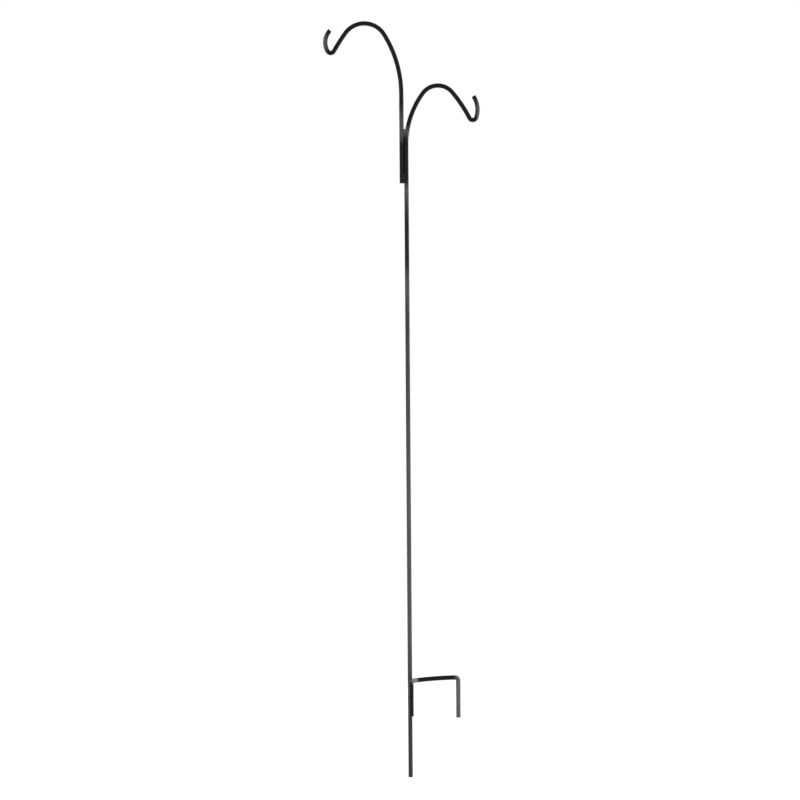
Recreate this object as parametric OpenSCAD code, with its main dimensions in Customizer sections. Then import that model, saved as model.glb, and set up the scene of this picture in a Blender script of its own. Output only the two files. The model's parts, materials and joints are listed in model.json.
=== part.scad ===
// Hanging plant stand: a long steel rod that is pushed into the ground beside a step bracket.
// The rod's own upper end is bent into the short hook. A second rod, welded to the stem's left
// side, makes the tall hook. The step bracket is a third rod, welded in front of the stem.
// Millimetres, +Z up. The origin is the centre of the stem's lower end.

/* [Stem and short hook] */
// Diameter of the stem's rod and of the tall hook's rod
rod_d = 12.7; // [8:0.1:16]
// Straight length of the stem, from its lower end to the short hook's first bend
stem_straight = 1784; // [1200:1:2100]
// Centreline radius of the slow bend that leads the short hook away from the stem
short_shoulder_r = 243; // [120:1:400]
// Turn of that slow bend
short_shoulder_turn = 36.7; // [20:0.1:50]
// Centreline radius over the top of the short hook
short_crown_r = 52.5; // [40:0.5:90]
// Turn over the top of the short hook
short_crown_turn = 103.6; // [80:0.1:115]
// Centreline radius of the short hook's long slope from its crown down to its curl
short_slope_r = 400; // [250:1:800]
// Turn along that slope
short_slope_turn = 12.6; // [5:0.1:20]
// Turn at the bottom of the short hook's curl
short_curl_turn = 134; // [100:0.1:140]
// Centreline radius of the short hook's tip, above its curl
short_tip_r = 69; // [45:0.5:90]
// Turn of the short hook's tip
short_tip_turn = 52.3; // [20:0.1:60]

/* [Tall hook] */
// Length over which the tall hook's tail lies along the stem, below the stem's first bend
lap = 109; // [90:1:250]
// Straight length of the tall hook, from its tail end to its first bend
tall_straight = 253; // [180:1:400]
// Centreline radius of the slow bend that leads the tall hook away from the stem
tall_shoulder_r = 319; // [150:1:500]
// Turn of that slow bend
tall_shoulder_turn = 31.8; // [20:0.1:50]
// Centreline radius over the top of the tall hook
tall_crown_r = 65.5; // [45:0.5:100]
// Turn over the top of the tall hook
tall_crown_turn = 112.6; // [85:0.1:120]
// Centreline radius of the tall hook's slope from its crown down to its curl
tall_slope_r = 600; // [300:1:1000]
// Turn along that slope
tall_slope_turn = 5.7; // [3:0.1:9]
// Turn at the bottom of the tall hook's curl
tall_curl_turn = 122.2; // [95:0.1:135]
// Centreline radius of the tall hook's tip, above its curl
tall_tip_r = 50.5; // [40:0.5:80]
// Turn of the tall hook's tip
tall_tip_turn = 70.9; // [30:0.1:80]

/* [Both hooks] */
// Centreline radius at the bottom of both curls, where a plant's hanger sits
curl_r = 10.5; // [9:0.1:20]
// Chamfer around every sawn end
end_chamfer = 1.2; // [0.5:0.1:2.5]
// Gap between two rods that are laid side by side to be welded
rod_gap = 0.2; // [0.1:0.05:0.4]

/* [Step bracket] */
// Diameter of the step bracket's rod
step_d = 12.7; // [8:0.1:16]
// Height of the lower end of the leg that is welded to the stem
step_height = 172; // [100:1:400]
// Direction from the stem to that leg, seen from above: 0 is right and -90 is the front
step_seat = -73; // [-90:1:-45]
// Straight length of the leg
leg_straight = 92; // [80:0.5:140]
// Centreline radius of both of the bracket's tight bends
step_bend_r = 9.5; // [8:0.5:25]
// Turn of the bend between the leg and the tread, which slopes up where it is under 90
leg_turn = 83.3; // [75:0.1:90]
// Centreline radius of the tread, where a foot pushes: it is bowed a little
tread_r = 1190; // [800:1:2000]
// Turn along the tread
tread_turn = 5.5; // [3:0.1:8]
// Straight length of the prong that goes into the ground beside the stem
prong_straight = 103.5; // [60:0.5:160]

/* [Welds] */
// Angle around each rod from the line where the rods meet to the edge of a weld bead
toe_angle = 50; // [42:1:60]
// Height of a bead's crown above a flat line between its two edges
bead_rise = 1.05; // [0.8:0.05:1.5]
// Depth left open between the rods, behind each bead
bead_root = 0.9; // [0.6:0.1:1.5]
// Length of each bead
bead_length = 26; // [20:1:32]
// Distance from one ripple of a bead to the next
bead_pitch = 2; // [1.5:0.1:3]
// Distance from the end of a joint to its nearest bead
bead_inset = 5; // [3:0.5:10]
// Height to which the two upper beads of the hooks fill the fork, above the stem's first bend
fork_fill = 43; // [34:1:50]

/* [Hidden] */

paint = "#1d1d1f";
weld_paint = "#29292b";
ring_fn = 48;
arc_fn = 288;
bead_fn = 40;
// Length by which a cutting shape runs past what it cuts, and a core into what it joins
spare = 1;

rod_r = rod_d / 2;
step_r = step_d / 2;

// Places of the two welded joints along the stem
lap_bottom = stem_straight - lap;
leg_top = step_height + leg_straight;

// Distances from the stem's centreline to those of the rods beside it
tall_offset = rod_d + rod_gap;
step_offset = rod_r + rod_gap + step_r;

// Each rod's bends, in the order in which they are made: [centreline radius, turn]. A positive
// turn goes to the right and a negative one to the left.
short_bends = [
    [short_shoulder_r, short_shoulder_turn],
    [short_crown_r, short_crown_turn],
    [short_slope_r, short_slope_turn],
    [curl_r, -short_curl_turn],
    [short_tip_r, -short_tip_turn]
];
tall_bends = [
    [tall_shoulder_r, -tall_shoulder_turn],
    [tall_crown_r, -tall_crown_turn],
    [tall_slope_r, -tall_slope_turn],
    [curl_r, tall_curl_turn],
    [tall_tip_r, tall_tip_turn]
];
// The last turn brings the prong upright again
step_bends = [
    [step_bend_r, leg_turn],
    [tread_r, tread_turn],
    [step_bend_r, 180 - leg_turn - tread_turn]
];

// Lean of a rod where bend number i starts: 0 is straight up and 90 is to the right
function lean(bends, i) = i == 0 ? 0 : lean(bends, i - 1) + bends[i - 1][1];

// The step from a rod's centreline to a bend's centre, for a lean and a signed radius
function to_centre(angle, signed_r) = signed_r * [cos(angle), -sin(angle)];

function signed_r(bend) = sign(bend[1]) * bend[0];

// Where bend number i starts, as [right, up] from the top of the rod's first straight run
function seam(bends, i) = i == 0 ? [0, 0] :
    bend_centre(bends, i - 1) - to_centre(lean(bends, i), signed_r(bends[i - 1]));

// Centre of bend number i, around which its centreline turns
function bend_centre(bends, i) =
    seam(bends, i) + to_centre(lean(bends, i), signed_r(bends[i]));

// A length to the nearest hundredth of a millimetre
function coarse(length) = round(length * 100) / 100;

// Moves right and up, in a coarse step and a fine one. No decimals are lost, so the round
// faces of two bends meet exactly.
module placed(point) {
    translate([coarse(point[0]), 0, coarse(point[1])])
        translate([point[0] - coarse(point[0]), 0, point[1] - coarse(point[1])])
            children();
}

// A straight run of rod that stands on a sawn end, whose rim is chamfered
module straight_run(r, length) {
    rotate_extrude($fn = ring_fn)
        polygon([
            [0, 0], [r - end_chamfer, 0], [r, end_chamfer], [r, length], [0, length]
        ]);
}

// Bend number i of a rod, as a sector of a torus that starts at that bend's lean
module bend(r, bends, i) {
    side = sign(bends[i][1]);
    placed(bend_centre(bends, i))
        rotate([90, 0, side > 0 ? 180 : 0])
            rotate_extrude(
                angle = abs(bends[i][1]), start = side * lean(bends, i), $fn = arc_fn
            )
                translate([bends[i][0], 0])
                    circle(r = r, $fn = ring_fn);
}

// A core inside the rod, across the seam where bend number i starts. It keeps the runs on both
// sides of a seam in one solid, however their sizes round.
module core(r, bends, i) {
    placed(seam(bends, i))
        rotate([0, lean(bends, i), 0])
            cylinder(r = r / 2, h = 2 * spare, center = true, $fn = ring_fn);
}

// The ring that is cut off a hook's tip, to chamfer its rim
module tip_chamfer(r, bends) {
    placed(seam(bends, len(bends)))
        rotate([0, lean(bends, len(bends)), 0])
            rotate_extrude($fn = ring_fn)
                polygon([
                    [r - end_chamfer - spare, spare],
                    [r + spare, -end_chamfer - spare],
                    [r + spare, spare]
                ]);
}

// A hook's rod: a straight run, then all its bends, up to a chamfered tip
module hook_rod(r, length, bends) {
    straight_run(r, length);
    translate([0, 0, length])
        difference() {
            for (i = [0:len(bends) - 1]) {
                bend(r, bends, i);
                core(r, bends, i);
            }
            tip_chamfer(r, bends);
        }
}

// Half the width of the groove between two rods, where a bead's edges touch them
function toe_x(rod_radius) = rod_radius * (1 - cos(toe_angle)) + rod_gap / 2;

// Radius of a puddle of weld that is as wide as the groove there and rises above it
function puddle_radius(half_width, rise) = (half_width ^ 2 + rise ^ 2) / (2 * rise);

// Puddles of weld, each set over the one before it. They stand on the origin in an upright
// row, and grow from the lowest to the highest.
module puddles(low_r, high_r) {
    travel = bead_length - low_r - high_r;
    ripples = ceil(travel / bead_pitch);
    translate([0, 0, low_r])
        rotate_extrude($fn = bead_fn)
            intersection() {
                for (i = [0:ripples])
                    translate([0, travel * i / ripples])
                        circle(r = low_r + (high_r - low_r) * i / ripples, $fn = bead_fn);
                translate([0, -low_r])
                    square([max(low_r, high_r), bead_length]);
            }
}

// The half of a row of puddles that lies outside the root of its groove
module above_root(reach) {
    intersection() {
        children();
        translate([-reach, bead_root, -spare])
            cube([2 * reach, 2 * reach, bead_length + 2 * spare]);
    }
}

// A rippled bead in the groove between two upright rods that stand left and right of the
// origin
module groove_bead(left_r, right_r) {
    mean_r = (left_r + right_r) / 2;
    puddle_r = puddle_radius(toe_x(mean_r), bead_rise);
    difference() {
        above_root(mean_r + bead_rise)
            translate([0, mean_r * sin(toe_angle) + bead_rise - puddle_r, 0])
                puddles(puddle_r, puddle_r);
        translate([-left_r - rod_gap / 2, 0, -bead_inset])
            cylinder(r = left_r, h = bead_length + 2 * bead_inset, $fn = 2 * ring_fn);
        translate([right_r + rod_gap / 2, 0, -bead_inset])
            cylinder(r = right_r, h = bead_length + 2 * bead_inset, $fn = 2 * ring_fn);
    }
}

// How far the middle of the fork has moved to the right, at a height above the stem's first
// bend. The fork is wider by twice as much.
function fork_shift(height) =
    (short_shoulder_r - sqrt(short_shoulder_r ^ 2 - height ^ 2)) / 2;

// How much wider than the groove below it the fork is at a height
function fork_growth(height) = 1 + fork_shift(height) / toe_x(rod_r);

// Middle of the fork's puddles at a height, as [right, out of the groove, up]
function fork_middle(height) =
    let (growth = fork_growth(height))
    [
        fork_shift(height),
        rod_r * sin(toe_angle) + growth * (bead_rise - puddle_radius(toe_x(rod_r), bead_rise)),
        height
    ];

// A bead that fills the foot of the fork, where the stem bends away from the tall hook. Its
// puddles grow with the fork.
module fork_bead() {
    foot = fork_middle(fork_fill - bead_length);
    run = fork_middle(fork_fill) - foot;
    puddle_r = puddle_radius(toe_x(rod_r), bead_rise);
    high_r = puddle_r * fork_growth(fork_fill);
    above_root(rod_r + high_r)
        translate([foot[0], foot[1], 0])
            rotate([atan(-run[1] / run[2]), atan(run[0] / run[2]), 0])
                puddles(puddle_r * fork_growth(fork_fill - bead_length), high_r);
}

// A bead between the stem and the tall hook: flip 0 is the front and 1 is the back
module hook_weld(flip, z) {
    color(weld_paint)
        translate([-rod_r - rod_gap / 2, 0, z])
            mirror([0, 1 - flip, 0])
                groove_bead(rod_r, rod_r);
}

// The bead in the fork between the stem's first bend and the tall hook: flip as above
module fork_weld(flip) {
    color(weld_paint)
        difference() {
            translate([-rod_r - rod_gap / 2, 0, stem_straight + fork_fill - bead_length])
                mirror([0, 1 - flip, 0])
                    fork_bead();
            translate([-tall_offset, 0, stem_straight - spare])
                cylinder(r = rod_r, h = fork_fill + 2 * spare, $fn = 2 * ring_fn);
            translate([0, 0, stem_straight])
                bend(rod_r, short_bends, 0);
        }
}

// A bead between the stem and the step bracket: flip 0 is the right and 1 is the left
module step_weld(flip, z) {
    color(weld_paint)
        rotate([0, 0, step_seat])
            translate([rod_r + rod_gap / 2, 0, z])
                mirror([0, flip, 0])
                    groove_bead(rod_r, step_r);
}

// Stem and short hook, in one rod
module main_rod() {
    color(paint)
        hook_rod(rod_r, stem_straight, short_bends);
}

// Tall hook, whose tail lies along the stem's left side
module tall_hook() {
    color(paint)
        translate([-tall_offset, 0, lap_bottom])
            hook_rod(rod_r, tall_straight, tall_bends);
}

// Step bracket: the leg on the stem, the tread, and the prong that hangs from its far end
module step_bracket() {
    color(paint)
        translate([step_offset * cos(step_seat), step_offset * sin(step_seat), step_height]) {
            straight_run(step_r, leg_straight);
            translate([0, 0, leg_straight]) {
                for (i = [0:len(step_bends) - 1])
                    bend(step_r, step_bends, i);
                for (i = [0:len(step_bends)])
                    core(step_r, step_bends, i);
                placed(seam(step_bends, len(step_bends)) - [0, prong_straight])
                    straight_run(step_r, prong_straight);
            }
        }
}

module hook_weld_front_lower() { hook_weld(0, lap_bottom + bead_inset); }
module hook_weld_front_upper() { fork_weld(0); }
module hook_weld_back_lower() { hook_weld(1, lap_bottom + bead_inset); }
module hook_weld_back_upper() { fork_weld(1); }
module step_weld_right_lower() { step_weld(0, step_height + bead_inset); }
module step_weld_right_upper() { step_weld(0, leg_top - bead_inset - bead_length); }
module step_weld_left_lower() { step_weld(1, step_height + bead_inset); }
module step_weld_left_upper() { step_weld(1, leg_top - bead_inset - bead_length); }

main_rod();
tall_hook();
step_bracket();
hook_weld_front_lower();
hook_weld_front_upper();
hook_weld_back_lower();
hook_weld_back_upper();
step_weld_left_lower();
step_weld_left_upper();
step_weld_right_lower();
step_weld_right_upper();
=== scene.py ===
# %% [markdown]
# # A hanging plant stand of bent steel rod
# The object is three steel rods, welded side by side and coated black. The longest is the stem,
# and its own upper end is bent into the short hook. The second makes the tall hook, and the
# third is the step bracket near the ground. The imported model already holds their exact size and
# place, so this lesson only gives them a finer skin, real weld beads, a finish, light and a
# camera. Everything is in metres, with +Z up along the stem.

import json
import math
import random

import bmesh
import bpy
from mathutils import Matrix, Vector, noise


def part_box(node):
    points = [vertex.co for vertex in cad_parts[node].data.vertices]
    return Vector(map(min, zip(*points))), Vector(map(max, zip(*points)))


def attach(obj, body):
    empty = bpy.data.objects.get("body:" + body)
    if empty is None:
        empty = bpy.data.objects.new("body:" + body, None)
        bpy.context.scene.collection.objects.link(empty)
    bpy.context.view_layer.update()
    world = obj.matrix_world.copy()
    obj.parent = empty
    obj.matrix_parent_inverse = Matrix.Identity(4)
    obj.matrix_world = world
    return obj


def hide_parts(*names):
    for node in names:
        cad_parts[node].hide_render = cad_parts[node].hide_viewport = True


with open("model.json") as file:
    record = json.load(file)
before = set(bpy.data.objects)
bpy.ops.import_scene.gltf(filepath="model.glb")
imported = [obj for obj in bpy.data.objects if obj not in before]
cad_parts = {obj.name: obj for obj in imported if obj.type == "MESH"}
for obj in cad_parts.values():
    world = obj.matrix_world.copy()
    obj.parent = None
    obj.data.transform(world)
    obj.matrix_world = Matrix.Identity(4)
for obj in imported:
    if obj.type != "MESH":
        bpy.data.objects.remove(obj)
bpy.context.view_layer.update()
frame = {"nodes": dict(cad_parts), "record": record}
mounts = {mount["name"]: mount for mount in frame["record"]["mounts"]}
print("nodes:", sorted(frame["nodes"]))

# %% [markdown]
# ## The camera
# The photograph looks at the stand square from the front, from about half its height. The stem
# leans to the left by less than half a degree, which is the camera's own tilt. A rod this thin
# shows no perspective, so a long lens some way off is as good as any, and its field is set by
# how much of the stem's plane the picture takes in.

# %% Place the camera
VIEW_CENTRE = Vector((-0.0226, 0.0, 1.0640))
VIEW_WIDTH = 2.2569
VIEW_DISTANCE = 9.0
CAMERA_TILT = math.radians(-0.41)
# Blender takes a sensor and a lens in millimetres
SENSOR_WIDTH = 36
CLIP_END = 200

camera_data = bpy.data.cameras.new("camera")
camera_data.sensor_width = SENSOR_WIDTH
camera_data.lens = SENSOR_WIDTH * VIEW_DISTANCE / VIEW_WIDTH
camera_data.clip_end = CLIP_END
camera = bpy.data.objects.new("camera", camera_data)
bpy.context.scene.collection.objects.link(camera)
level = Matrix.Rotation(math.radians(90), 4, "X")
camera.matrix_world = (
    Matrix.Translation(VIEW_CENTRE + Vector((0, -VIEW_DISTANCE, 0)))
    @ level @ Matrix.Rotation(CAMERA_TILT, 4, "Z")
)
bpy.context.scene.camera = camera
print("lens:", round(camera_data.lens, 1), "mm")

# %% [markdown]
# ## Small helpers for modelling
# Each piece starts as a primitive and is shaped by the same operators that a person would use.
# An operator acts on whatever is selected, so the selection is always cleared first.


# %% Selection helpers
def select_only(*objects):
    """Selects these objects alone, the last one active."""
    if bpy.context.object and bpy.context.object.mode != "OBJECT":
        bpy.ops.object.mode_set(mode="OBJECT")
    bpy.ops.object.select_all(action="DESELECT")
    for item in objects:
        item.select_set(True)
        bpy.context.view_layer.objects.active = item


def select_vertices(piece, wanted):
    """In edit mode, selects the vertices whose place passes a test."""
    bpy.ops.mesh.select_all(action="DESELECT")
    mesh = bmesh.from_edit_mesh(piece.data)
    for vertex in mesh.verts:
        vertex.select_set(bool(wanted(vertex.co)))
    mesh.select_flush_mode()
    bmesh.update_edit_mesh(piece.data)


def triangle_count(piece):
    """How many triangles a mesh has."""
    return sum(len(face.vertices) - 2 for face in piece.data.polygons)


# %% [markdown]
# ## The rods
# A rod is bent from one straight bar, and its centreline is a chain of arcs that touch without
# a corner. So a rod is modelled as it is bent: a ring stands at the sawn end, is extruded along
# the straight run, and is then spun around the centre of one bend after another. Spinning keeps
# every ring square to the centreline, which a swept curve doesn't promise.
#
# The radii and turns repeat those of the imported solids.

# %% Sizes of the rods
ROD_RADIUS = mounts["prong"]["dims"]["r_mm"] / 1000
STEM_LENGTH = 1.784
TALL_LENGTH = 0.253
LEG_LENGTH = 0.092
PRONG_LENGTH = 0.1035

# Each bend is (centreline radius, turn in degrees): a positive turn goes to the right
SHORT_BENDS = [
    (0.243, 36.7), (0.0525, 103.6), (0.4, 12.6), (0.0105, -134), (0.069, -52.3),
]
TALL_BENDS = [
    (0.319, -31.8), (0.0655, -112.6), (0.6, -5.7), (0.0105, 122.2), (0.0505, 70.9),
]
STEP_BENDS = [(0.0095, 83.3), (1.19, 5.5), (0.0095, 91.2)]
for bends in (SHORT_BENDS, TALL_BENDS, STEP_BENDS):
    print(len(bends), "bends turn", round(sum(turn for _, turn in bends), 1), "degrees in all")

# %% Bend a rod
RING_POINTS = 48
UP = Vector((0, 0, 1))
# Rings stand this far apart along a straight run, and in a bend at most this far or this turn
STRAIGHT_SPACING = 0.048
RING_SPACING = 0.012
DEGREES_PER_RING = 2.5


def run_straight(direction, length):
    """Extrudes the selected ring along a line, in steps."""
    steps = max(1, round(length / STRAIGHT_SPACING))
    for _ in range(steps):
        move = direction * (length / steps)
        bpy.ops.mesh.extrude_region_move(TRANSFORM_OT_translate={"value": move})


def right_of(lean):
    """The direction to the right of a rod that leans to the right by an angle."""
    return Vector((math.cos(lean), 0, -math.sin(lean)))


def run_bend(end, lean, radius, turn):
    """Spins the selected ring around a bend's centre, and gives the new end and lean.
    With no window the spin turns the other way, so its angle is negative."""
    angle = math.radians(turn)
    to_centre = math.copysign(radius, turn)
    centre = end + right_of(lean) * to_centre
    rings = max(abs(turn) / DEGREES_PER_RING, radius * abs(angle) / RING_SPACING)
    bpy.ops.mesh.spin(
        steps=math.ceil(rings), angle=-angle, center=centre, axis=(0, 1, 0), dupli=False,
    )
    lean += angle
    return centre - right_of(lean) * to_centre, lean


def bent_rod(name, foot, first_length, bends, last_length):
    """A rod that starts upright at its foot and follows its bends, and where it ends."""
    select_only()
    bpy.ops.mesh.primitive_circle_add(
        vertices=RING_POINTS, radius=ROD_RADIUS, fill_type="NOTHING", location=foot,
    )
    rod = bpy.context.object
    rod.name = rod.data.name = name
    bpy.ops.object.transform_apply(location=True, rotation=True, scale=True)
    bpy.ops.object.mode_set(mode="EDIT")
    bpy.ops.mesh.select_all(action="SELECT")
    bpy.ops.mesh.edge_face_add()
    bpy.ops.mesh.select_all(action="SELECT")
    run_straight(UP, first_length)
    end, lean = foot + UP * first_length, 0.0
    for radius, turn in bends:
        end, lean = run_bend(end, lean, radius, turn)
    if last_length:
        heading = Vector((math.sin(lean), 0, math.cos(lean)))
        run_straight(heading, last_length)
        end += heading * last_length
    return rod, end


# %% Round a rod's rims and finish its skin
END_CHAMFER = 0.0012
CHAMFER_STEPS = 3
# The rim of a sawn end lies within this distance of the end's middle
RIM_REACH = 1.02 * ROD_RADIUS
SAME_PLACE = 1e-6
SMOOTH_BELOW = math.radians(35)


def sawn_ends(rod, foot, tip):
    """Rounds the rims of a rod's two sawn ends."""
    for place in (foot, tip):
        select_vertices(rod, lambda co: (co - place).length < RIM_REACH)
        bpy.ops.mesh.region_to_loop()
        bpy.ops.mesh.bevel(
            offset=END_CHAMFER, segments=CHAMFER_STEPS, profile=0.5, affect="EDGES",
        )


def finish_rod(rod):
    """Merges doubles, turns the faces outwards and shades the rod smoothly."""
    bpy.ops.mesh.select_all(action="SELECT")
    bpy.ops.mesh.remove_doubles(threshold=SAME_PLACE)
    bpy.ops.mesh.normals_make_consistent(inside=False)
    bpy.ops.object.mode_set(mode="OBJECT")
    select_only(rod)
    bpy.ops.object.shade_smooth_by_angle(angle=SMOOTH_BELOW)


# %% [markdown]
# The stem starts at the origin. The tall hook's tail and the step's leg start where the packed
# solids do, so their places are read from those solids' boxes. The leg's foot stands where the
# plain length of stem that the record gives for the ground ends.

# %% Find where the rods start
tail_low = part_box("tall_hook")[0]
hook_weld_low, hook_weld_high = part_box("hook_weld_front_lower")
seam_x = (hook_weld_low.x + hook_weld_high.x) / 2
tail_foot = Vector((2 * seam_x, 0, tail_low.z))

bracket_low, bracket_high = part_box("step_bracket")
plain_length = mounts["ground_spike"]["dims"]["length_mm"] / 1000
leg_foot = Vector((
    bracket_low.x + ROD_RADIUS, (bracket_low.y + bracket_high.y) / 2, plain_length,
))
print("tail foot", tail_foot, "leg foot", leg_foot)

# %% [markdown]
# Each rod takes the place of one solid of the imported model, and all of them ride on the root,
# because the stand is one welded piece.

# %% Make the three rods
rods = {}
rod_ends = {}
for name, node, foot, first_length, bends, last_length in (
    ("stem_rod", "main_rod", Vector((0, 0, 0)), STEM_LENGTH, SHORT_BENDS, 0),
    ("tall_hook_rod", "tall_hook", tail_foot, TALL_LENGTH, TALL_BENDS, 0),
    ("step_rod", "step_bracket", leg_foot, LEG_LENGTH, STEP_BENDS, PRONG_LENGTH),
):
    rod, tip = bent_rod(name, foot, first_length, bends, last_length)
    sawn_ends(rod, foot, tip)
    finish_rod(rod)
    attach(rod, "root")
    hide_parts(node)
    rods[name] = rod
    rod_ends[name] = (foot, tip)
    print(name, triangle_count(rod), "triangles, tip at", [round(c, 4) for c in tip])

# %% [markdown]
# ## The weld beads
# The rods are joined by short beads of weld in the grooves between them. A bead is laid down as
# one small puddle after another, and each sets over the edge of the one before, like a row of
# leaning coins. So one puddle is a flattened sphere that leans back, and a bead is a row of
# them over a core that fills the groove's root. A voxel remesh melts the row into one skin, a
# noise makes it a little uneven, and the two rods are then cut out of it. The rods that cut are
# a hair slimmer than the real ones, so that the bead sits tight.

# %% Sizes of a bead
BEAD_LENGTH = hook_weld_high.z - hook_weld_low.z
BEAD_PITCH = 0.002
ROD_SPACING = 2 * abs(seam_x)
# A bead's toes are where its edges meet the two rods
TOE_ANGLE = math.radians(50)
TOE_X = ROD_SPACING / 2 - ROD_RADIUS * math.cos(TOE_ANGLE)
TOE_Y = ROD_RADIUS * math.sin(TOE_ANGLE)
print("a bead is", round(BEAD_LENGTH * 1000, 1), "mm long and",
      round(2 * TOE_X * 1000, 1), "mm wide between its toes")

# %% Slimmer pieces of rod to cut with
BITE = 0.00012
# How far the cutters reach past a joint's beads. The leg's own cutter ends where the leg bends
REACH = 0.01


def slim_piece(rod, low, high):
    """A short piece of a rod between two heights, thinner all round by the bite."""
    piece = rod.copy()
    piece.data = rod.data.copy()
    bpy.context.scene.collection.objects.link(piece)
    select_only(piece)
    bpy.ops.object.mode_set(mode="EDIT")
    bpy.ops.mesh.select_all(action="SELECT")
    bpy.ops.transform.shrink_fatten(value=-BITE)
    for height, keep_below in ((high, True), (low, False)):
        bpy.ops.mesh.select_all(action="SELECT")
        bpy.ops.mesh.bisect(
            plane_co=(0, 0, height), plane_no=UP, use_fill=True,
            clear_outer=keep_below, clear_inner=not keep_below,
        )
    bpy.ops.object.mode_set(mode="OBJECT")
    return piece


hook_joint = (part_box("hook_weld_front_lower")[0].z - REACH,
              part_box("hook_weld_front_upper")[1].z + REACH)
step_joint = (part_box("step_weld_left_lower")[0].z - REACH, leg_foot.z + LEG_LENGTH)
cutters = {
    "hook": [slim_piece(rods[name], *hook_joint) for name in ("stem_rod", "tall_hook_rod")],
    "step": [
        slim_piece(rods["stem_rod"], step_joint[0], step_joint[1] + REACH),
        slim_piece(rods["step_rod"], *step_joint),
    ],
}
print("the cutters reach over", [
    [round(height, 3) for height in joint] for joint in (hook_joint, step_joint)
])

# %% [markdown]
# A bead is laid in a frame of its own: X runs across the groove, Y out of it and Z along it. In
# a plain groove every puddle has the same size. The upper beads of the hooks fill the foot of
# the fork, where the stem bends away, so there the puddles grow and drift with the fork's middle.

# %% Where the puddles go
fork_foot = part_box("hook_weld_front_upper")[0].z


def plain_groove(height):
    """A groove between straight rods has no drift and no growth, at any height."""
    return 0.0, 1.0


def fork(height):
    """How far the fork's middle has drifted to the right at a height of its bead, and how much
    wider it is than the groove."""
    above = fork_foot + height - STEM_LENGTH
    radius = SHORT_BENDS[0][0]
    drift = (radius - math.sqrt(radius ** 2 - above ** 2)) / 2
    return drift, 1 + drift / TOE_X


print("at its upper bead's top the fork is", round(fork(BEAD_LENGTH)[1], 2), "grooves wide")


# %% Two tools for shapes
def apply_modifier(piece, kind, **settings):
    """Adds one modifier with its settings and applies it."""
    select_only(piece)
    modifier = piece.modifiers.new(kind.lower(), kind)
    for key, value in settings.items():
        setattr(modifier, key, value)
    bpy.ops.object.modifier_apply(modifier=modifier.name)


def add_shape(operator, place, turn, stretch, **settings):
    """A primitive whose stretch, turn and place go into its mesh."""
    operator(**settings)
    shape = bpy.context.object
    stretched = Matrix.Diagonal(stretch).to_4x4()
    shape.data.transform(Matrix.Translation(place) @ turn @ stretched)
    return shape


# %% Lay one puddle
# A puddle's half sizes are given across the groove, out of it and along it
TOE_OVERLAP = 0.0004
PUDDLE_SIZE = Vector((TOE_X + TOE_OVERLAP, 0.00115, 0.00225))
PUDDLE_LEAN = math.radians(24)
PUDDLE_SINK = 0.00012
PUDDLE_GRID = {"segments": 32, "ring_count": 20}
# A core starts this far out from the rods' middle plane, and is this many pitches long
ROOT_Y = 0.0009
CORE_PITCHES = 1.2
# How far chance may change a puddle's growth, its place across the groove and its lean
GROWTH_RANGE = (0.95, 1.05)
PLACE_CHANCE = 0.0001
LEAN_CHANCE = 0.06


def add_puddle(height, drift, growth, lean):
    """One puddle of weld across the groove, over a core that reaches down to its root."""
    growth *= random.uniform(*GROWTH_RANGE)
    across = drift + random.uniform(-1, 1) * PLACE_CHANCE
    lean += random.uniform(-1, 1) * LEAN_CHANCE
    puddle = add_shape(
        bpy.ops.mesh.primitive_uv_sphere_add,
        (across, TOE_Y - PUDDLE_SINK, height), Matrix.Rotation(lean, 4, "X"),
        PUDDLE_SIZE * growth, **PUDDLE_GRID,
    )
    depth = TOE_Y - ROOT_Y
    core = add_shape(
        bpy.ops.mesh.primitive_cube_add, (drift, ROOT_Y + depth / 2, height), Matrix(),
        (2 * TOE_X * growth, depth, CORE_PITCHES * BEAD_PITCH), size=1,
    )
    return [puddle, core]


print("a puddle measures", [round(2 * half * 1000, 2) for half in PUDDLE_SIZE], "mm")


# %% Lay one bead
VOXEL = 0.00021
MELTING = {"factor": 0.5, "iterations": 3}
# The unevenness of a skin in metres, how many swells of it a metre would hold, and how far
# chance may shift its noise from one bead to the next
UNEVENNESS = 0.00016
BEAD_SWELLS = 420
FURTHEST_SHIFT = 99
# Both sources of chance start from a set number, so that every run gives the same beads
SEED = 7
random.seed(SEED)
noise.seed_set(SEED)


def lay_bead(name, course, upside_down):
    """A row of puddles melted into one, in the bead's own frame."""
    first, last = PUDDLE_SIZE.z, BEAD_LENGTH - PUDDLE_SIZE.z
    count = round((last - first) / BEAD_PITCH)
    lean = -PUDDLE_LEAN if upside_down else PUDDLE_LEAN
    parts = []
    for i in range(count + 1):
        height = first + (last - first) * i / count
        parts += add_puddle(height, *course(height), lean)
    select_only(*parts)
    bpy.ops.object.join()
    bead = bpy.context.object
    bead.name = bead.data.name = name
    apply_modifier(bead, "REMESH", mode="VOXEL", voxel_size=VOXEL, use_smooth_shade=True)
    apply_modifier(bead, "SMOOTH", **MELTING)
    shift = Vector((random.uniform(0, FURTHEST_SHIFT), 0, 0))
    for vertex in bead.data.vertices:
        vertex.co += noise.noise_vector(vertex.co * BEAD_SWELLS + shift) * UNEVENNESS
    return bead


# %% [markdown]
# Each groove has a middle line and faces outward. The hooks' grooves are at the front and the
# back of the lap. The step's leg is welded to the front of the stem, a little to the right of
# its middle, so its two grooves face left and right, square to the line from stem to leg.

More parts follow.
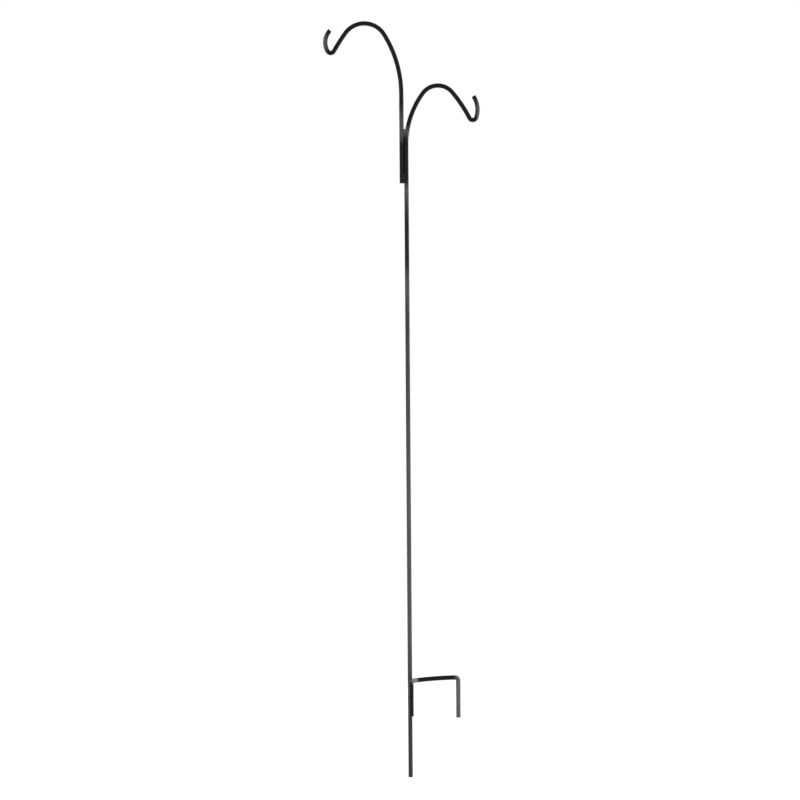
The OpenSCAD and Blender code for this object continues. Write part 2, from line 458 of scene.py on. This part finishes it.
# %% Find the four grooves
leg_direction = Vector((leg_foot.x, leg_foot.y, 0)).normalized()
leg_side = Vector((-leg_direction.y, leg_direction.x, 0))
leg_middle = leg_direction * ROD_SPACING / 2
tail_middle = Vector((seam_x, 0, 0))
GROOVES = {
    "hook_weld_front": (tail_middle, Vector((0, -1, 0))),
    "hook_weld_back": (tail_middle, Vector((0, 1, 0))),
    "step_weld_right": (leg_middle, leg_side),
    "step_weld_left": (leg_middle, -leg_side),
}


def groove_turn(outward):
    """Turns the frame of a bead so that it stands upright and faces out of its groove."""
    return Matrix((outward.cross(UP), outward, UP)).transposed().to_4x4()


def course_of(node, outward):
    """The course of a node's puddles, with its drift along the bead's own X."""
    if not (node.startswith("hook") and node.endswith("upper")):
        return plain_groove
    side = outward.cross(UP).x

    def course(height):
        drift, growth = fork(height)
        return side * drift, growth
    return course


print("the leg is", round(math.degrees(math.atan2(leg_foot.x, -leg_foot.y))),
      "degrees to the right of the stem's front")

# %% [markdown]
# A welder runs some beads upwards and some downwards, so every third one leans the other way.

# %% Lay the eight beads
beads = []
for groove, (middle, outward) in GROOVES.items():
    joint = groove.split("_")[0]
    for level in ("lower", "upper"):
        node = f"{groove}_{level}"
        upside_down = len(beads) % 3 == 1
        bead = lay_bead(node.replace("weld", "bead"), course_of(node, outward), upside_down)
        place = Matrix.Translation(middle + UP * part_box(node)[0].z)
        bead.data.transform(place @ groove_turn(outward))
        for cutter in cutters[joint]:
            apply_modifier(
                bead, "BOOLEAN", operation="DIFFERENCE", object=cutter, solver="EXACT",
            )
        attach(bead, "root")
        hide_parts(node)
        beads.append(bead)
        print(bead.name, triangle_count(bead), "triangles,", [
            round(side * 1000, 2) for side in bead.dimensions
        ], "mm")
for cutter in cutters["hook"] + cutters["step"]:
    bpy.data.objects.remove(cutter)

# %% [markdown]
# Between the beads the rods only touch, and the coat bridges the hairline between them. So a
# narrow ribbon runs down the middle of each seam, most of it inside the rods. Where the stem
# starts to bend away, the ribbon's right side goes with it, up to the bead that fills the fork.

# %% Bridge the two seams with coat
BRIDGE_SIZE = Vector((0.0005, 0.0026))
BRIDGE_STEP = 0.004
BRIDGE_SWELLS = 300
# A seam starts this far above the chamfered end of the shorter rod
SEAM_START = 2 * END_CHAMFER


def coat_bridge(name, middle, outward, low, high):
    """A narrow ribbon between two rods, from one height to another."""
    ribbon = add_shape(
        bpy.ops.mesh.primitive_cube_add, middle + UP * (low + high) / 2, groove_turn(outward),
        (BRIDGE_SIZE.x, BRIDGE_SIZE.y, high - low), size=1,
    )
    ribbon.name = ribbon.data.name = name
    select_only(ribbon)
    bpy.ops.object.mode_set(mode="EDIT")
    steps = int((high - low) / BRIDGE_STEP)
    for i in range(1, steps):
        bpy.ops.mesh.select_all(action="SELECT")
        height = low + (high - low) * i / steps
        bpy.ops.mesh.bisect(plane_co=(0, 0, height), plane_no=UP)
    bpy.ops.object.mode_set(mode="OBJECT")
    for vertex in ribbon.data.vertices:
        if vertex.co.z > STEM_LENGTH and vertex.co.x > middle.x:
            drift, _ = fork(vertex.co.z - fork_foot)
            vertex.co.x += 2 * drift
        vertex.co += noise.noise_vector(vertex.co * BRIDGE_SWELLS) * UNEVENNESS
    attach(ribbon, "root")
    print(ribbon.name, triangle_count(ribbon), "triangles")
    return ribbon


bridges = [
    coat_bridge("hook_seam_coat", tail_middle, Vector((0, 1, 0)),
                tail_foot.z + SEAM_START, fork_foot + BEAD_PITCH),
    coat_bridge("step_seam_coat", leg_middle, leg_side,
                leg_foot.z + SEAM_START, leg_foot.z + LEG_LENGTH),
]

# %% [markdown]
# ## The finish
# The stand is coated with black powder, which melts in an oven into one satin skin with the fine
# swells of an orange's peel. Such a finish varies a little from place to place, and the nodes
# that make it are easiest to read as plain expressions. So a small class lets Python's own
# operators add the Math nodes. Any other node comes from one method, for materials and the world.


# %% A class for shader maths
class Value:
    """The output of a shader node. An operator on it adds a Math node."""

    def __init__(self, nodes, output):
        self.nodes = nodes
        self.output = output

    def maths(self, operation, first, second):
        return self.nodes.node("ShaderNodeMath", {"operation": operation}, [first, second])

    def __add__(self, other):
        return self.maths("ADD", self, other)

    def __sub__(self, other):
        return self.maths("SUBTRACT", self, other)

    def __rsub__(self, other):
        return self.maths("SUBTRACT", other, self)

    def __mul__(self, other):
        return self.maths("MULTIPLY", self, other)

    __radd__ = __add__
    __rmul__ = __mul__


class Nodes:
    """The node tree of a material or a world."""

    def __init__(self, tree):
        self.tree = tree

    def node(self, kind, settings=None, sockets=None, output=0):
        """Adds a node: its settings first, then its sockets' values or links."""
        made = self.tree.nodes.new(kind)
        for key, value in (settings or {}).items():
            setattr(made, key, value)
        pairs = sockets.items() if isinstance(sockets, dict) else enumerate(sockets or [])
        for key, value in pairs:
            self.set_socket(made.inputs[key], value)
        return Value(self, made.outputs[output])

    def set_socket(self, socket, value):
        """Links a value made by a node, or writes a plain one."""
        if isinstance(value, Value):
            self.tree.links.new(value.output, socket)
        else:
            socket.default_value = value


# %% A class for paints
class Paint(Nodes):
    """A material and the nodes that make it."""

    def __init__(self, name):
        self.material = bpy.data.materials.new(name)
        self.material.use_nodes = True
        super().__init__(self.material.node_tree)

    def set_surface(self, **values):
        """Sets the shader's own sockets: Base_Color stands for Base Color."""
        shader = self.tree.nodes["Principled BSDF"]
        for key, value in values.items():
            self.set_socket(shader.inputs[key.replace("_", " ")], value)

    def object_place(self):
        """Where a point lies on the object, in metres."""
        return self.node("ShaderNodeTexCoord", output="Object")

    def noise(self, place, size, detail, roughness=0.5):
        """Soft noise from 0 to 1, whose swells are about one size wide, in metres."""
        return self.node("ShaderNodeTexNoise", {}, {
            "Vector": place, "Scale": 1 / size, "Detail": detail, "Roughness": roughness,
        })

    def ramp(self, value, stops):
        """A level read from stops of (value, level), the values in any range."""
        low, high = stops[0][0], stops[-1][0]
        made = self.node("ShaderNodeValToRGB", {}, [(value - low) * (1 / (high - low))])
        elements = made.output.node.color_ramp.elements
        elements[0].color = [stops[0][1]] * 3 + [1]
        elements[1].color = [stops[-1][1]] * 3 + [1]
        for at, level in stops[1:-1]:
            elements.new((at - low) / (high - low)).color = [level] * 3 + [1]
        return made

    def spot(self, place, centre, radius):
        """1 within a third of a radius of a centre, falling to 0 at about the radius. Noise
        on the distance makes its edge uneven."""
        away = self.node(
            "ShaderNodeVectorMath", {"operation": "DISTANCE"}, [place, centre], "Value",
        )
        uneven = away + (self.noise(place, radius / 2, detail=2) - 0.5) * radius
        return self.node("ShaderNodeMapRange", {"interpolation_type": "SMOOTHSTEP"}, {
            "Value": uneven, "From Min": radius, "From Max": radius / 3,
        })

    def blend(self, factor, first, second):
        """A colour between two, by a factor from 0 to 1. A Mix node keeps its two colours in
        sockets 6 and 7 and gives the blend of them at output 2."""
        return self.node(
            "ShaderNodeMix", {"data_type": "RGBA"}, {0: factor, 6: first, 7: second}, 2,
        )


# %% [markdown]
# The coat is black, but a charcoal grey is painted into its colour, in soft patches, on the long
# run of the stem, on the prong, on the outer sides of the curls and in the fork. This grey is
# painted highlight: it stands for the soft lines of light that side lamps lay along upright rods.
# The crowns of the hooks, the lap and the stem below it, and the leg and tread of the step stay
# black. So each rod has one or two ramps along an axis, which say how much painted highlight it
# takes there, and all the beads share one. The coat also draws back from the sawn ends, which is
# real wear, and on the step's first bend a light grey spot is painted as the bend's glint.

# %% Where highlight is painted
# For each rod and for the beads: an axis and, along it in metres, stops of (place, painted
# highlight)
HIGHLIGHT_STRETCHES = {
    "stem_rod": [
        ("Z", [(0.0, 0.35), (0.18, 0.35), (0.3, 0.4), (0.4, 0.7), (0.8, 0.72), (1.05, 0.55),
               (1.25, 0.4), (1.33, 0.45), (1.38, 0.8), (1.45, 0.05), (1.56, 0.05), (1.6, 0.2),
               (1.655, 0.65), (1.668, 0.5), (1.68, 0.0), (1.8, 0.0), (1.819, 0.7), (1.829, 0.45),
               (1.842, 0.0)]),
        ("X", [(0.197, 0.0), (0.203, 0.8)]),
    ],
    "tall_hook_rod": [
        ("Z", [(1.785, 0.0), (1.815, 0.75), (1.85, 0.6), (1.87, 0.4), (1.9, 0.0)]),
        ("X", [(-0.226, 0.8), (-0.219, 0.0)]),
    ],
    "step_rod": [("X", [(0.122, 0.0), (0.134, 1.0)])],
    "beads": [("Z", [(1.803, 0.03), (1.822, 0.85)])],
}
# The patches are this wide, and multiply the painted highlight by something in this range
PATCH_SIZE = 0.09
PATCH_RANGE = (0.35, 1.65)
# How far the coat draws back from a sawn end, and how thin it gets there
END_RADIUS = 0.009
END_THINNESS = 0.3


def painted_highlight_and_end_wear(paint, place, piece):
    """How grey a piece's coat is, from 0 to 1: painted highlight along its stretches, in patches,
    and real wear at a rod's ends.
    """
    least, most = PATCH_RANGE
    patches = paint.noise(place, PATCH_SIZE, detail=3) * (most - least) + least
    highlight_and_end_wear = 0.0
    for axis, stops in HIGHLIGHT_STRETCHES[piece]:
        along = paint.node("ShaderNodeSeparateXYZ", {}, [place], axis)
        highlight_and_end_wear = highlight_and_end_wear + paint.ramp(along, stops) * patches
    for end in rod_ends.get(piece, ()):
        highlight_and_end_wear = highlight_and_end_wear + paint.spot(place, end, END_RADIUS) * END_THINNESS
    return highlight_and_end_wear


# Each piece's ramps paint highlight grey along these axes
for piece, stretches in HIGHLIGHT_STRETCHES.items():
    print(f"{piece}: thin coat along", [axis for axis, _ in stretches])

# %% [markdown]
# The swells of the coat are about a millimetre and a half wide and some hundredths of a
# millimetre high, with a much finer grain on them. Both are relief, and the swells also change
# the gloss a little. On the small beads the same skin is drawn finer.

# %% The skin of the coat
COAT_SPECULAR = 0.13
# The swells' width and height, how soft they are, and how much they dull the gloss
PEEL_SIZE = 0.0016
PEEL_DEPTH = 0.00008
PEEL_SOFTNESS = 0.4
PEEL_DULLNESS = 0.06
# The grain's width, and its height as a share of the swells'
GRAIN_SIZE = 0.00028
GRAIN_SHARE = 0.12


def coat_skin(paint, place, roughness, fineness):
    """Gives a paint the coat's relief, and returns a roughness that varies with its swells."""
    peel = paint.noise(place, PEEL_SIZE * fineness, detail=1, roughness=PEEL_SOFTNESS)
    grain = paint.noise(place, GRAIN_SIZE, detail=0)
    relief = paint.node("ShaderNodeBump", {}, {
        "Height": peel + grain * GRAIN_SHARE, "Distance": PEEL_DEPTH * fineness, "Strength": 1.0,
    })
    paint.set_surface(Specular_IOR_Level=COAT_SPECULAR, Normal=relief)
    return roughness + peel * PEEL_DULLNESS


# %% Paint for the rods and the beads
COAT_BLACK = (0.0025, 0.0026, 0.0029, 1)
# The next grey is painted highlight on upright rods and real wear at the sawn ends, and it adds
# roughness where it lies
HIGHLIGHT_AND_WEAR_GREY = (0.12, 0.124, 0.132, 1)
# A light grey painted as the glint on the step's first bend
PAINTED_GLINT_GREY = (0.28, 0.285, 0.29, 1)
HIGHLIGHT_AND_WEAR_DULLNESS = 0.2
ROD_ROUGHNESS = 0.27
BEAD_ROUGHNESS = 0.34
BEAD_FINENESS = 0.6
# The painted glint of the step's first bend is centred inside the rod, where the bend ends
PAINTED_GLINT_PLACE = leg_foot + Vector((0.010, 0, LEG_LENGTH + 0.008))
PAINTED_GLINT_RADIUS = 0.014


def powder_coat(name, piece, roughness, fineness=1.0, glint_at=None):
    """The coat of a piece, with painted highlight along its stretches, real wear at its ends, and
    a painted glint at one place.
    """
    paint = Paint(name)
    place = paint.object_place()
    highlight_and_end_wear = painted_highlight_and_end_wear(paint, place, piece)
    # Painted highlight and real end wear blend grey into the black, and a painted glint blends in
    # light grey
    colour = paint.blend(highlight_and_end_wear, COAT_BLACK, HIGHLIGHT_AND_WEAR_GREY)
    if glint_at:
        painted_glint = paint.spot(place, glint_at, PAINTED_GLINT_RADIUS)
        colour = paint.blend(painted_glint, colour, PAINTED_GLINT_GREY)
    rough = coat_skin(paint, place, roughness, fineness) + highlight_and_end_wear * HIGHLIGHT_AND_WEAR_DULLNESS
    paint.set_surface(Base_Color=colour, Roughness=rough)
    return paint.material


rod_paints = {
    "stem_rod": powder_coat("stem_paint", "stem_rod", ROD_ROUGHNESS),
    "tall_hook_rod": powder_coat("tall_hook_paint", "tall_hook_rod", ROD_ROUGHNESS),
    "step_rod": powder_coat("step_paint", "step_rod", ROD_ROUGHNESS, glint_at=PAINTED_GLINT_PLACE),
}
weld_paint = powder_coat("weld_paint", "beads", BEAD_ROUGHNESS, BEAD_FINENESS)
print("paints:", [paint.name for paint in (*rod_paints.values(), weld_paint)])
for name, rod in rods.items():
    rod.data.materials.append(rod_paints[name])
for piece in beads + bridges:
    piece.data.materials.clear()
    piece.data.materials.append(weld_paint)

# %% [markdown]
# ## Floor and world
# The photograph's ground is pure white. The floor is a pale surface that takes the stand's
# shadow, and a little light of its own, seen only by the camera and in reflections, lifts it to
# white. The world does the same behind it.


# %% Find the rays that see white
def seen_as_white(nodes):
    """1 for rays that come from the camera, or from a reflection of it."""
    seen = nodes.node("ShaderNodeLightPath", output="Is Camera Ray")
    for kind in ("Is Glossy Ray", "Is Transmission Ray"):
        other = nodes.node("ShaderNodeLightPath", output=kind)
        seen = nodes.node("ShaderNodeMath", {"operation": "MAXIMUM"}, [seen, other])
    return seen


# %% Floor
FLOOR_SIZE = 120
FLOOR_COLOUR = (0.8, 0.8, 0.8, 1)
FLOOR_LIFT = 0.6

floor_paint = Paint("floor")
matt = floor_paint.node("ShaderNodeBsdfDiffuse", {}, {"Color": FLOOR_COLOUR})
glow = floor_paint.node(
    "ShaderNodeEmission", {}, {"Strength": seen_as_white(floor_paint) * FLOOR_LIFT},
)
both = floor_paint.node("ShaderNodeAddShader", {}, [matt, glow])
floor_output = floor_paint.tree.nodes["Material Output"]
floor_paint.set_socket(floor_output.inputs["Surface"], both)

select_only()
bpy.ops.mesh.primitive_plane_add(size=FLOOR_SIZE)
floor = bpy.context.object
floor.name = "floor"
floor.data.materials.append(floor_paint.material)
print("floor:", FLOOR_SIZE, "m wide")

# %% World
WORLD_LIGHT = 0.5
WHITE = (1, 1, 1, 1)

world = bpy.data.worlds.new("studio")
bpy.context.scene.world = world
world.use_nodes = True
sky = Nodes(world.node_tree)
background = world.node_tree.nodes["Background"]
sky.set_socket(background.inputs["Color"], WHITE)
light_or_white = seen_as_white(sky) * (1 - WORLD_LIGHT) + WORLD_LIGHT
sky.set_socket(background.inputs["Strength"], light_or_white)
print("world light:", WORLD_LIGHT)

# %% [markdown]
# ## Lamps
# A thin round rod shows a lamp only as a line of light along it, and a tall, narrow lamp gives
# the softest and most even line. So four of them stand around the stand, two in front and two
# behind, where they light the sides of the rods.

# %% Lamps
STAND_MIDDLE = Vector((0, 0, 1.2))
LAMP_DISTANCE = 2.8
STRIP_WIDTH = 0.35
STRIP_HEIGHT = 2.8
# Each lamp's azimuth in degrees, 0 at the camera and growing to the right, and the brightness
# of its face, where 1 is a white surface in full light
LAMPS = {
    "lamp_back_right": (140, 11),
    "lamp_back_left": (-150, 7),
    "lamp_right": (62, 13),
    "lamp_left": (-48, 7),
}


def strip_lamp(name, azimuth, brightness):
    """A tall lamp that faces the stand."""
    lamp_data = bpy.data.lights.new(name, "AREA")
    lamp_data.shape = "RECTANGLE"
    lamp_data.size = STRIP_WIDTH
    lamp_data.size_y = STRIP_HEIGHT
    lamp_data.energy = math.pi * STRIP_WIDTH * STRIP_HEIGHT * brightness
    lamp = bpy.data.objects.new(name, lamp_data)
    bpy.context.scene.collection.objects.link(lamp)
    angle = math.radians(azimuth)
    away = Vector((math.sin(angle), -math.cos(angle), 0))
    facing = away.to_track_quat("Z", "Y").to_matrix().to_4x4()
    lamp.matrix_world = Matrix.Translation(STAND_MIDDLE + away * LAMP_DISTANCE) @ facing
    print(name, "at azimuth", azimuth, "with", round(lamp_data.energy, 1), "W")


for name, (azimuth, brightness) in LAMPS.items():
    strip_lamp(name, azimuth, brightness)

# %% [markdown]
# ## Last
# The view is left at its plain settings.

# %% Set the view
bpy.context.scene.view_settings.view_transform = "Standard"
